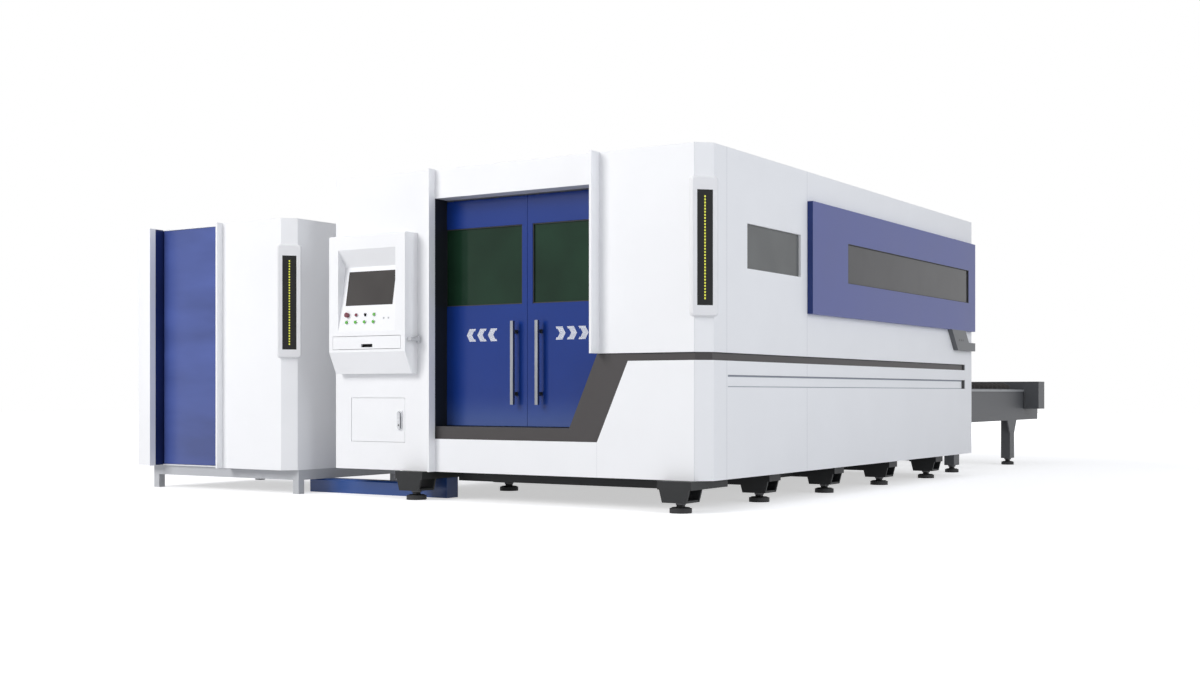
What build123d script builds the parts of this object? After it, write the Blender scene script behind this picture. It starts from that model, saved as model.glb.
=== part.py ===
from build123d import *
import os
from math import sqrt

# Laser cutting machine: a flat-bed cutter in a closed house with two sliding front doors, an
# operator's console, an exchange table behind it, and the cabinet of its laser source beside it.
# Millimetres. +X is to the right of a person at the console, +Y to the back, +Z up.
# The origin is on the floor, under the middle of the whole set.
# Places along x count from the right face of the house, places along y from its front face.

# House
house_width = 2918
house_length = 4830
house_bottom = 190
house_top = 2190
panel = 40
corner_chamfer = 85
corner_return = 251
side_seam = 1407
roof_drop = 20
roof_thickness = 30
tube = 60

# Front doorway and its dark trim
opening_right = 767
opening_margin = 879
header_height = 193
header_depth = 126
header_lip = 15
sill_bottom = 407
sill_top = 490
waist_bottom = 905
waist_top = 953
waist_end_margin = 174
trim_run = 223
trim_width = 248
trim_recess = 10
band_thickness = 20
fin_thickness = 16
left_fin_proud = 63
right_fin_proud = 88

# Sliding doors
door_front = 130
door_thickness = 36
door_gap = 5
door_headroom = 12
right_door_share = 0.4835
door_split = 3
door_lap = 36
door_travel_left = 540
door_travel_right = 480
window_drop = 183
window_height = 515
window_stile = 40
window_edge = 20
glass_thickness = 8
handle_offset_left = 84
handle_offset_right = 110
handle_width = 22
handle_bottom = 635
handle_top = 1176
handle_reach = 60
standoff_width = 16
standoff_inset = 70
track_wall = 5
track_height = 45
hanger_stem = 8
hanger_head = 20
hanger_height = 20
hanger_width = 160
slide_clear = 2
rib_width = 8
rib_height = 16

# Console on the left front panel
console_inset = 55
console_width = 673
console_proud = 127
console_top = 1778
console_fold = 986
console_bottom = 841
console_foot = 58
console_round = 14
recess_left_inset = 82
recess_right_inset = 82.5
recess_top = 1681
recess_knee = 1568
recess_depth = 75
recess_bottom = 1126
screen_inset = 41
screen_drop = 32
screen_width = 417.5
screen_height = 237
screen_thickness = 6
button_inset = 72
button_pitch = 79.5
button_upper_row = 335
button_lower_row = 385
button_radius = 10.5
button_clear = 0.5
button_travel = 4
button_height = 5.5
stop_radius = 17
stop_height = 14
stop_travel = 5
selector_height = 9
selector_grip = 5
stem_width = 12
stem_length = 20

# Keyboard drawer of the console
drawer_left_inset = 35
drawer_right_inset = 39
drawer_bottom = 1007
drawer_top = 1092
drawer_face = 14
drawer_back = 90
drawer_wall = 3
drawer_floor = 1014
drawer_rim = 1070
drawer_clear = 3
tray_inset = 25
runner_width = 12
running_gap = 0.3
sleeve_wall = 6
slot_inset = 253
slot_width = 101
slot_bottom = 1018
slot_top = 1040

# Hook on the console's side
hook_start = 108
hook_end = 14
hook_bottom = 1058
hook_thickness = 20
hook_reach = 36
hook_lip = 12
hook_rise = 32

# Hatch in the left front panel
hatch_inset = 143
hatch_width = 476
hatch_bottom = 380
hatch_top = 676
hatch_thickness = 12
hatch_gap = 2
hatch_pocket = 80
hatch_pocket_wall = 4
hatch_pin_radius = 2.5
hatch_pin_length = 8
pin_clear = 0.05
latch_inset = 39
latch_width = 44
latch_bottom = 461
latch_top = 592
latch_plate = 6
latch_lever = 12
latch_pivot_drop = 22
latch_pivot_radius = 6

# Right side: windows, cowl and groove
side_window_start = 523
side_window_end = 1307
side_window_bottom = 1478
side_window_top = 1757
side_glass = 8
side_glass_inset = 16
cowl_start = 1412
cowl_end_margin = 20
cowl_bottom = 1239
cowl_drop = 198
cowl_proud = 40
cowl_window_start = 2010
cowl_window_margin = 180
bracket_head_start = 600
bracket_heel = 450
bracket_head_end = 261
bracket_notch = 169
bracket_arm_bottom = 1070
bracket_arm_top = 1140
groove_start = 264
groove_bottom = 746
groove_top = 820
groove_depth = 12

# Status light columns on the chamfered corners
light_width = 170
light_proud = 22
light_round = 24
light_bevel = 10
light_bottom = 1160
light_drop = 200
lens_width = 97
lens_bottom_margin = 67
lens_top_margin = 81
lens_depth = 8
lens_thickness = 6

# Welded bed, rails and feet
bed_right_margin = 70
bed_left_margin = 708
bed_start = 180
bed_end_margin = 100
bed_bottom = 125
bed_top = 900
bed_beam = 230
cross_beam = 200
cross_top = 420
ledge_reach = 45
ledge_thickness = 12
lower_ledge = 522
upper_ledge = 702
rail_width = 30
rail_height = 25
rail_inset = 115
foot_inset = 60
foot_shift = 46
foot_first = 0
foot_last_margin = 650
foot_rows = 5
bracket_top_width = 230
bracket_foot_width = 163
bracket_length = 166
bracket_plate = 14
bracket_bottom = 62
pad_radius = 67
pad_height = 28
stem_size = 38

# Exchange table
table_length = 2880
table_gap = 5
table_beam = 60
table_bottom = 440
table_top = 730
flange_height = 15
flange_lip = 5
table_cross = 120
table_cross_height = 60
first_leg = 320
second_leg = 1990
leg_width = 90
leg_length = 140
leg_bottom = 65
gusset_length = 300
gusset_height = 130
gusset_thickness = 12
table_pad_radius = 60
guard_start = 2380
guard_length = 210
guard_bottom = 551
guard_top = 826
guard_reach = 152

# Pallets
pallet_length = 2600
pallet_in = 920
pallet_out_margin = 260
pallet_side_gap = 10
pallet_frame = 50
pallet_tube = 60
slat_count = 17
slat_thickness = 6
slat_teeth = 12
slat_top = 112
slat_tooth = 34

# Gantry
truck_start = 550
truck_length = 400
truck_width = 130
truck_height = 75
gantry_section = 220
gantry_chamfer = 35
beam_overhang = 30
x_rail_height = 24
x_rail_depth = 16
x_rail_pitch = 140
carriage_width = 260
carriage_height = 260
carriage_plate = 20
cheek_width = 25
cheek_depth = 60
head_width = 110
head_depth = 90
head_top = 1330
head_shoulder = 1030
neck_radius = 24
nozzle_radius = 9
nozzle_tip = 930

# Rear opening and its gate
rear_margin = 80
rear_bottom = 430
rear_top = 1000
gate_thickness = 12
gate_height = 270
gate_lap = 20
gate_bottom = 1065
gate_guide = 30

# Cabinet of the laser source
aisle = 292
cabinet_width = 1566
cabinet_depth = 1250
cabinet_step = 155
cabinet_bottom = 169
cabinet_top = 1935
cabinet_chamfer = 80
cabinet_fin_proud = 52
cabinet_left_panel = 190
cabinet_bay = 698
cabinet_recess = 71
cabinet_wall = 25
cabinet_cap = 8
cabinet_door_thickness = 30
cabinet_door_gap = 3
cabinet_door_rear_gap = 4
cabinet_pin_radius = 6
cabinet_pin_length = 18
cabinet_light_bottom = 954
cabinet_light_drop = 185
cabinet_lens_margin = 60
cabinet_lens_top_margin = 79
base_left_inset = 70
base_front_inset = 90
base_tube = 55
base_rail_bottom = 98
source_width = 560
source_depth = 700
source_height = 620
source_chamfer = 20

# Cable duct on the floor
duct_reach = 135
duct_start = 190
duct_depth = 120
duct_chamfer = 12

# Where the right front corner of the house stands in the model's own frame
span = cabinet_width + aisle + house_width + cowl_proud
right = span / 2 - cowl_proud
reach = cabinet_step + cabinet_fin_proud
front = reach - (reach + house_length + table_length) / 2

# Places that several pieces share
bed_width = house_width - bed_right_margin - bed_left_margin
bed_centre = bed_right_margin + bed_width / 2
bed_end = house_length - bed_end_margin
foot_spread = bed_width / 2 - foot_inset
foot_pitch = (house_length - foot_first - foot_last_margin) / (foot_rows - 1)
opening_width = house_width - opening_right - opening_margin
header_bottom = house_top - header_height
door_top = header_bottom - door_headroom
door_meeting = opening_right + opening_width * right_door_share
window_top = door_top - window_drop
window_bottom = window_top - window_height
waist_end = house_length - waist_end_margin
console_left = house_width - console_inset
console_right = console_left - console_width
recess_left = console_left - recess_left_inset
recess_right = console_right + recess_right_inset
screen_left = recess_left - screen_inset
button_first = recess_left - button_inset
drawer_left = console_left - drawer_left_inset
drawer_right = console_right + drawer_right_inset
slot_left = drawer_left - slot_inset
slot_right = slot_left - slot_width
hatch_left = house_width - hatch_inset
hatch_right = hatch_left - hatch_width
cowl_end = house_length - cowl_end_margin
cowl_top = house_top - cowl_drop
cowl_window_end = cowl_end - cowl_window_margin
light_top = house_top - light_drop
lens_bottom = light_bottom + lens_bottom_margin
lens_top = light_top - lens_top_margin
cabinet_light_top = cabinet_top - cabinet_light_drop
cabinet_lens_bottom = cabinet_light_bottom + cabinet_lens_margin
cabinet_lens_top = cabinet_light_top - cabinet_lens_top_margin
pallet_out = house_length - pallet_out_margin
roof_low = house_top - roof_drop - roof_thickness
rail_low = roof_low - tube
corner_inner = corner_chamfer + panel * sqrt(2)
opening_left = opening_right + opening_width
fin_left = opening_left + fin_thickness
trim_slope = trim_run / (waist_bottom - sill_bottom)
band_back = trim_recess + band_thickness
leaf_left = opening_left + door_lap
leaf_right = opening_right - door_lap
leaf_bottom = sill_top + door_gap
door_middle = door_front + door_thickness / 2
track_left = leaf_left + door_travel_left + door_lap
track_right = leaf_right - door_travel_right - door_lap
inner_half = bed_width / 2 - bed_beam
rail_offset = bed_width / 2 - rail_inset
rail_top = bed_top + rail_height
cabinet_right = house_width + aisle
cabinet_left = cabinet_right + cabinet_width
bay_left = cabinet_left - cabinet_left_panel
bay_right = bay_left - cabinet_bay
cabinet_front = -cabinet_step
cabinet_back = cabinet_front + cabinet_depth

os.makedirs("parts", exist_ok=True)


def level(z):
    """Horizontal plane at height z, drawn as (x, y)."""
    return Plane((right, front, z))


def facing_front(y):
    """Upright plane at y, drawn as (x, z), with its normal to the front."""
    return Plane((right, front + y, 0), x_dir=(1, 0, 0), z_dir=(0, -1, 0))


def facing_right(x):
    """Upright plane at x, drawn as (y, z), with its normal to the right."""
    return Plane((right + x, front, 0), x_dir=(0, 1, 0), z_dir=(1, 0, 0))


def on_corner(x, y):
    """Upright plane on a chamfered corner, drawn as (along the chamfer, z)."""
    return Plane((right + x, front + y, 0), x_dir=(1, 1, 0), z_dir=(1, -1, 0))


def block(x, y, z, mode=Mode.ADD):
    """Block between the low and high value of each axis, in the open part."""
    with Locations((right + x[0], front + y[0], z[0])):
        Box(x[1] - x[0], y[1] - y[0], z[1] - z[0], align=(Align.MIN,) * 3, mode=mode)


def field(u, v, mode=Mode.ADD):
    """Rectangle between the low and high value of each direction, in the open sketch."""
    with Locations((u[0], v[0])):
        Rectangle(u[1] - u[0], v[1] - v[0], align=(Align.MIN, Align.MIN), mode=mode)


def around(middle, half):
    """The low and high value at equal distances from a middle."""
    return (middle - half, middle + half)


def both_sides(offset):
    """The two places at the same distance from the middle line of the bed."""
    return around(-bed_centre, offset)


def save(piece, name):
    """Name a finished piece and write it."""
    piece.part.label = name
    export_step(piece.part, f"parts/{name}.step")


def trim_outer(z):
    """Place of the trim's slanting outer edge at height z."""
    return -opening_right + trim_slope * (z - sill_bottom)


def ledged_beam(outer_half, bottom, top, side):
    """Outline of a long beam, as (x, z), with the two ledges that the pallets run on."""
    inner = -bed_centre + side * inner_half
    outer = -bed_centre + side * outer_half
    lip = inner - side * ledge_reach
    return (
        (outer, bottom),
        (inner, bottom),
        (inner, lower_ledge - ledge_thickness),
        (lip, lower_ledge - ledge_thickness),
        (lip, lower_ledge),
        (inner, lower_ledge),
        (inner, upper_ledge - ledge_thickness),
        (lip, upper_ledge - ledge_thickness),
        (lip, upper_ledge),
        (inner, upper_ledge),
        (inner, top),
        (outer, top),
    )


# Bed: two deep side beams with pallet ledges, low cross beams and the brackets over the feet
with BuildPart() as machine_bed:
    with BuildSketch(facing_front(bed_start)):
        for side in (-1, 1):
            with BuildLine():
                Polyline(*ledged_beam(bed_width / 2, house_bottom, bed_top, side), close=True)
            make_face()
    extrude(amount=bed_start - bed_end)
    cross_pitch = (bed_end - bed_start - cross_beam) / 3
    for number in range(4):
        start = bed_start + number * cross_pitch
        block(both_sides(inner_half), (start, start + cross_beam), (bed_bottom, cross_top))
    for row in range(foot_rows):
        middle = foot_first + row * foot_pitch
        ends = around(middle, bracket_length / 2)
        for x in around(-bed_centre - foot_shift, foot_spread):
            for y in (ends[0], ends[1] - bracket_plate):
                with BuildSketch(facing_front(y)):
                    with BuildLine():
                        Polyline(
                            (x - bracket_foot_width / 2, bracket_bottom),
                            (x + bracket_foot_width / 2, bracket_bottom),
                            (x + bracket_top_width / 2, house_bottom),
                            (x - bracket_top_width / 2, house_bottom),
                            close=True,
                        )
                    make_face()
                extrude(amount=-bracket_plate)
            block(
                around(x, bracket_foot_width / 2),
                ends,
                (bracket_bottom, bracket_bottom + bracket_plate),
            )
            block(
                around(x, bracket_top_width / 2),
                (ends[0], max(ends[1], bed_start + cross_beam)),
                (bed_bottom + bracket_plate, house_bottom),
            )
save(machine_bed, "machine_bed")

# Feet: a round pad and a square screw under each bracket and each leg of the table
with BuildPart() as levelling_feet:
    feet = []
    for row in range(foot_rows):
        for x in around(-bed_centre - foot_shift, foot_spread):
            feet.append((x, foot_first + row * foot_pitch, bracket_bottom, pad_radius))
    for y in (first_leg, second_leg):
        for x in both_sides(inner_half + table_beam - leg_width / 2):
            feet.append((x, house_length + y, leg_bottom, table_pad_radius))
    for x, y, top, radius in feet:
        with BuildSketch(level(0)):
            with Locations((x, y)):
                Circle(radius)
        extrude(amount=pad_height)
        block(around(x, stem_size / 2), around(y, stem_size / 2), (pad_height, top))
save(levelling_feet, "levelling_feet")

# Linear rails of the gantry, one on each side beam
with BuildPart() as guide_rails:
    for x in both_sides(rail_offset):
        block(
            around(x, rail_width / 2),
            (bed_start + rail_width, bed_end - rail_width),
            (bed_top, rail_top),
        )
save(guide_rails, "guide_rails")

# House frame: square tubes behind the panels
left_post = (-house_width + panel, -house_width + panel + tube)
right_post = (-panel - tube, -panel)
corner_post = (-corner_inner - tube, -corner_inner)
front_post = (panel, panel + tube)
rear_post = (house_length - panel - tube, house_length - panel)
low_rail = (house_bottom, house_bottom + tube)
high_rail = (rail_low, roof_low)
with BuildPart() as enclosure_frame:
    block(corner_post, front_post, (house_bottom, roof_low))
    block(right_post, rear_post, (house_bottom, roof_low))
    for y in (front_post, around(side_seam, tube / 2), rear_post):
        block(left_post, y, (house_bottom, roof_low))
    for z in (low_rail, high_rail):
        block((left_post[0], corner_post[1]), front_post, z)
        block((left_post[0], right_post[1]), rear_post, z)
        block(left_post, (front_post[0], rear_post[1]), z)
    link = (corner_inner, corner_inner + tube)
    block((corner_post[0], right_post[1]), link, high_rail)
    block(corner_post, (front_post[0], link[1]), high_rail)
    block(right_post, (link[0], rear_post[1]), high_rail)
save(enclosure_frame, "enclosure_frame")

# Left front panel, with the mouth of the keyboard drawer and a folded pocket behind the hatch
tray_x = (-drawer_left + tray_inset, -drawer_right - tray_inset)
sleeve_x = (tray_x[0] - drawer_clear - sleeve_wall, tray_x[1] + drawer_clear + sleeve_wall)
sleeve_floor = drawer_bottom - drawer_clear
sleeve_z = (sleeve_floor - sleeve_wall, drawer_top + drawer_clear + sleeve_wall)
sleeve_back = drawer_back + drawer_clear + sleeve_wall
hatch_x = (-hatch_left - hatch_gap, -hatch_right + hatch_gap)
hatch_z = (hatch_bottom - hatch_gap, hatch_top + hatch_gap)
hatch_pivot = (-hatch_left + hatch_thickness / 2, hatch_thickness / 2)
with BuildPart() as front_panel_left:
    block((-house_width, -fin_left), (0, panel), (house_bottom, house_top))
    block(sleeve_x, (0, panel), sleeve_z, Mode.SUBTRACT)
    block(
        (hatch_x[0] - hatch_pocket_wall, hatch_x[1] + hatch_pocket_wall),
        (panel, hatch_pocket + hatch_pocket_wall),
        (hatch_z[0] - hatch_pocket_wall, hatch_z[1] + hatch_pocket_wall),
    )
    block(hatch_x, (0, hatch_pocket), hatch_z, Mode.SUBTRACT)
    for z in (hatch_z[0], hatch_z[1] - hatch_pin_length):
        with BuildSketch(level(z)):
            with Locations(hatch_pivot):
                Circle(hatch_pin_radius)
        extrude(amount=hatch_pin_length)
save(front_panel_left, "front_panel_left")

# Header over the doors, folded back to the door plane
with BuildPart() as front_header:
    with BuildSketch(facing_right(-opening_left)):
        field((0, panel), (header_bottom, house_top))
        field((0, header_depth), (header_bottom, header_bottom + header_lip))
    extrude(amount=opening_width)
save(front_header, "front_header")

# Right front panel, above the waist band
with BuildPart() as front_panel_right:
    block((-opening_right, -corner_chamfer), (0, panel), (waist_top, house_top))
save(front_panel_right, "front_panel_right")

# Lower front panel, cut away along the slanting trim
with BuildPart() as front_panel_lower:
    with BuildSketch(facing_front(0)):
        with BuildLine():
            Polyline(
                (-opening_left, house_bottom),
                (-corner_chamfer, house_bottom),
                (-corner_chamfer, waist_bottom),
                (trim_outer(waist_bottom), waist_bottom),
                (-opening_right, sill_bottom),
                (-opening_left, sill_bottom),
                close=True,
            )
        make_face()
    extrude(amount=-panel)
save(front_panel_lower, "front_panel_lower")

# Dark trim: the sill strip rises to the waist band, which turns the corner and runs down the side
with BuildPart() as dark_trim:
    with BuildSketch(facing_front(trim_recess)):
        with BuildLine():
            Polyline(
                (-opening_left, sill_bottom),
                (-opening_right, sill_bottom),
                (trim_outer(waist_bottom), waist_bottom),
                (-corner_chamfer, waist_bottom),
                (-corner_chamfer, waist_top),
                (trim_outer(waist_top) - trim_width, waist_top),
                (trim_outer(sill_top) - trim_width, sill_top),
                (-opening_left, sill_top),
                close=True,
            )
        make_face()
    extrude(amount=trim_recess - panel)
    with BuildSketch(level(waist_bottom)):
        with BuildLine():
            Polyline(
                (-corner_chamfer, trim_recess),
                (-trim_recess, corner_chamfer),
                (-trim_recess, waist_end),
                (-band_back, waist_end),
                (-band_back, corner_chamfer + trim_recess),
                (-corner_chamfer - trim_recess, band_back),
                (-corner_chamfer - trim_recess, trim_recess),
                close=True,
            )
        make_face()
    extrude(amount=waist_top - waist_bottom)
save(dark_trim, "dark_trim")

# Corner cover: one folded sheet round the chamfered front corner, grooved for the band
with BuildPart() as corner_cover:
    with BuildSketch(level(house_bottom)):
        with BuildLine():
            Polyline(
                (-corner_chamfer, 0),
                (0, corner_chamfer),
                (0, corner_return),
                (-panel, corner_return),
                (-panel, corner_inner - panel),
                (-corner_chamfer, corner_inner - corner_chamfer),
                close=True,
            )
        make_face()
    extrude(amount=house_top - house_bottom)
    with BuildSketch(level(waist_bottom)):
        with BuildLine():
            Polyline(
                (-corner_chamfer, -trim_recess),
                (trim_recess, corner_chamfer),
                (trim_recess, corner_return),
                (-band_back, corner_return),
                (-band_back, corner_chamfer + trim_recess),
                (-corner_chamfer - trim_recess, band_back),
                close=True,
            )
        make_face()
    extrude(amount=waist_top - waist_bottom, mode=Mode.SUBTRACT)
save(corner_cover, "corner_cover")

# Upper side panels: the front one frames a window, the rear one backs the window in the cowl
side_face = (-panel, 0)
side_window_y = (side_window_start, side_window_end)
cowl_window_y = (cowl_window_start, cowl_window_end)
side_window_z = (side_window_bottom, side_window_top)
with BuildPart() as side_panel_front:
    block(side_face, (corner_return, side_seam), (waist_top, house_top))
    block(side_face, side_window_y, side_window_z, Mode.SUBTRACT)
save(side_panel_front, "side_panel_front")

with BuildPart() as side_panel_rear:
    block(side_face, (side_seam, house_length), (waist_top, house_top))
    block(side_face, cowl_window_y, side_window_z, Mode.SUBTRACT)
save(side_panel_rear, "side_panel_rear")

# Lower side panel, with a long shallow groove, and a step along its top that takes the band
waist = (waist_bottom, waist_top)
groove_y = (groove_start, waist_end)
groove_z = (groove_bottom, groove_top)
with BuildPart() as side_panel_lower:
    block(side_face, (corner_return, house_length), (house_bottom, waist_top))
    block((-band_back, 0), (corner_return, waist_end), waist, Mode.SUBTRACT)
    block((-groove_depth, 0), groove_y, groove_z, Mode.SUBTRACT)
save(side_panel_lower, "side_panel_lower")

# Blue cowl: a raised frame round the long side window
with BuildPart() as side_cowl:
    block((0, cowl_proud), (cowl_start, cowl_end), (cowl_bottom, cowl_top))
    block((0, cowl_proud), cowl_window_y, side_window_z, Mode.SUBTRACT)
save(side_cowl, "side_cowl")

# Tinted panes of both side windows, set back in their openings
with BuildPart() as side_windows:
    block((-side_glass_inset - side_glass, -side_glass_inset), side_window_y, side_window_z)
    block((0, side_glass), cowl_window_y, side_window_z)
save(side_windows, "side_windows")

# Dark bracket under the rear end of the cowl: a slanting leg with an arm to the rear edge
with BuildPart() as cowl_bracket:
    with BuildSketch(facing_right(0)):
        with BuildLine():
            Polyline(
                (cowl_end - bracket_head_start, cowl_bottom),
                (cowl_end - bracket_heel, bracket_arm_bottom),
                (cowl_end, bracket_arm_bottom),
                (cowl_end, bracket_arm_top),
                (cowl_end - bracket_notch, bracket_arm_top),
                (cowl_end - bracket_head_end, cowl_bottom),
                close=True,
            )
        make_face()
    extrude(amount=cowl_proud)
save(cowl_bracket, "cowl_bracket")

# Left wall, with the grooves of the right side and no windows
left_face = (-house_width, -house_width + panel)
with BuildPart() as left_wall:
    block(left_face, (panel, house_length), (house_bottom, house_top))
    block((left_face[0], left_face[0] + groove_depth), groove_y, groove_z, Mode.SUBTRACT)
    block((left_face[0], left_face[0] + trim_recess), groove_y, waist, Mode.SUBTRACT)
save(left_wall, "left_wall")

# Rear wall, open where the pallets pass, with hooked guides for the gate beside the opening
rear_face = (house_length - panel, house_length)
rear_x = both_sides(inner_half + rear_margin)
gate_x = both_sides(inner_half + rear_margin + gate_lap)
gate_y = (rear_face[0] - running_gap - gate_thickness, rear_face[0] - running_gap)
guide_z = (rear_bottom, gate_bottom + gate_height + gate_lap)
hook_y = (gate_y[0] - running_gap - gate_thickness, gate_y[0] - running_gap)
with BuildPart() as rear_wall:
    block((-house_width + panel, -panel), rear_face, (house_bottom, house_top))
    block(rear_x, rear_face, (rear_bottom, rear_top), Mode.SUBTRACT)
    block((gate_x[0] - gate_guide, gate_x[0] - running_gap), (hook_y[0], rear_face[0]), guide_z)
    block((gate_x[1] + running_gap, gate_x[1] + gate_guide), (hook_y[0], rear_face[0]), guide_z)
    block((gate_x[0] - gate_guide, gate_x[0] + gate_lap / 2), hook_y, guide_z)
    block((gate_x[1] - gate_lap / 2, gate_x[1] + gate_guide), hook_y, guide_z)
save(rear_wall, "rear_wall")

# Gate of the rear opening: a plate that is drawn up while the pallets change
with BuildPart() as rear_gate:
    block(gate_x, gate_y, (gate_bottom, gate_bottom + gate_height))
save(rear_gate, "rear_gate")

# Roof sheet with three pressed stiffening fields
roof_x = (-house_width + panel, -panel)
roof_y = (panel, house_length - panel)
roof_middle = ((roof_x[0] + roof_x[1]) / 2, (roof_y[0] + roof_y[1]) / 2)
with BuildPart() as roof_panel:
    with BuildSketch(level(roof_low)):
        with BuildLine():
            Polyline(
                (roof_x[0], roof_y[0]),
                (-corner_chamfer, roof_y[0]),
                (-corner_chamfer, corner_inner - corner_chamfer),
                (roof_x[1], corner_inner - panel),
                (roof_x[1], roof_y[1]),
                (roof_x[0], roof_y[1]),
                close=True,
            )
        make_face()
    extrude(amount=roof_thickness)
    press_width = roof_x[1] - roof_x[0] - 2 * corner_return
    press_pitch = (roof_y[1] - roof_y[0] - corner_return) / 3
    with BuildSketch(level(roof_low + roof_thickness)):
        with Locations(roof_middle):
            with GridLocations(press_width, press_pitch, 1, 3):
                Rectangle(press_width, press_pitch - corner_return)
    extrude(amount=roof_drop / 2)
save(roof_panel, "roof_panel")

# Fins that stand proud of the front at both sides of the doorway
right_fin_x = (-opening_right, -opening_right + fin_thickness)
with BuildPart() as door_fins:
    block((-fin_left, -opening_left), (-left_fin_proud, 0), (house_bottom, house_top))
    block(right_fin_x, (-right_fin_proud, 0), (waist_top, house_top))
save(door_fins, "door_fins")

# Door frame: the dark left jamb and the sill beam, with the rib that guides both leaves
sill_z = (sill_bottom, sill_top)
with BuildPart() as door_frame:
    block((-fin_left, -opening_left), (0, header_depth), (low_rail[1], rail_low))
    block((-opening_left, -track_right), (panel, header_depth), sill_z)
    sill_back = door_front + door_thickness + door_gap
    block((-track_left, -track_right), (header_depth, sill_back), sill_z)
    block(
        (-track_left, -track_right),
        around(door_middle, rib_width / 2),
        (sill_top, sill_top + rib_height),
    )
save(door_frame, "door_frame")

# Door track: a channel with lips that carry the hangers, and the web that hangs it on the frame
track_low = door_top + door_gap
track_top = track_low + track_height
track_inner = door_thickness / 2 - track_wall
stem_slot = hanger_stem / 2 + slide_clear
web_top = (rail_low + roof_low) / 2
with BuildPart() as door_track:
    with BuildSketch(facing_right(-track_left)):
        field(around(door_middle, door_thickness / 2), (track_low, track_top))
        field(
            around(door_middle, track_inner),
            (track_low + track_wall, track_top - track_wall),
            Mode.SUBTRACT,
        )
        field(
            around(door_middle, stem_slot),
            (track_low, track_low + track_wall),
            Mode.SUBTRACT,
        )
        field((door_middle - track_wall, door_middle), (track_top, web_top))
        field((front_post[1], door_middle), (web_top - track_wall, web_top))
    extrude(amount=track_left - track_right)
save(door_track, "door_track")

# Door leaves, each with a window, a bar handle and two hangers
window_z = (window_bottom, window_top)
leaf_y = (door_front, door_front + door_thickness)
hanger_low = track_low + track_wall + running_gap
left_leaf_x = (-leaf_left, -door_meeting - door_split / 2)
right_leaf_x = (-door_meeting + door_split / 2, -leaf_right)
left_window_x = (left_leaf_x[0] + window_edge, left_leaf_x[1] - window_stile)
right_window_x = (right_leaf_x[0] + window_stile, right_leaf_x[1] - window_edge)


def door_leaf(leaf_x, window_x):
    """Door leaf between two places, open at its window, grooved below for the guide rib."""
    with BuildPart() as leaf:
        block(leaf_x, leaf_y, (leaf_bottom, door_top))
        block(window_x, leaf_y, window_z, Mode.SUBTRACT)
        block(
            leaf_x,
            around(door_middle, rib_width / 2 + slide_clear),
            (leaf_bottom, sill_top + rib_height + slide_clear),
            Mode.SUBTRACT,
        )
        for x in (leaf_x[0] + hanger_width, leaf_x[1] - hanger_width):
            hanger_x = around(x, hanger_width / 2)
            head_z = (hanger_low, hanger_low + hanger_height)
            block(hanger_x, around(door_middle, hanger_stem / 2), (door_top, hanger_low))
            block(hanger_x, around(door_middle, hanger_head / 2), head_z)
    return leaf


def door_handle(x):
    """Upright bar with two standoffs, its middle at x."""
    ends = (handle_bottom + standoff_inset, handle_top - standoff_inset)
    with BuildPart() as handle:
        block(
            around(x, handle_width / 2),
            (door_front - handle_reach, door_front - handle_reach + handle_width),
            (handle_bottom, handle_top),
        )
        for z in ends:
            block(
                around(x, standoff_width / 2),
                (door_front - handle_reach + handle_width, door_front),
                around(z, standoff_width / 2),
            )
    return handle


save(door_leaf(left_leaf_x, left_window_x), "door_left")
save(door_leaf(right_leaf_x, right_window_x), "door_right")
for name, window_x in (("left", left_window_x), ("right", right_window_x)):
    with BuildPart() as door_pane:
        block(window_x, around(door_middle, glass_thickness / 2), window_z)
    save(door_pane, f"door_{name}_window")
save(door_handle(-door_meeting - handle_offset_left), "door_left_handle")
save(door_handle(-door_meeting + handle_offset_right), "door_right_handle")

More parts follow.
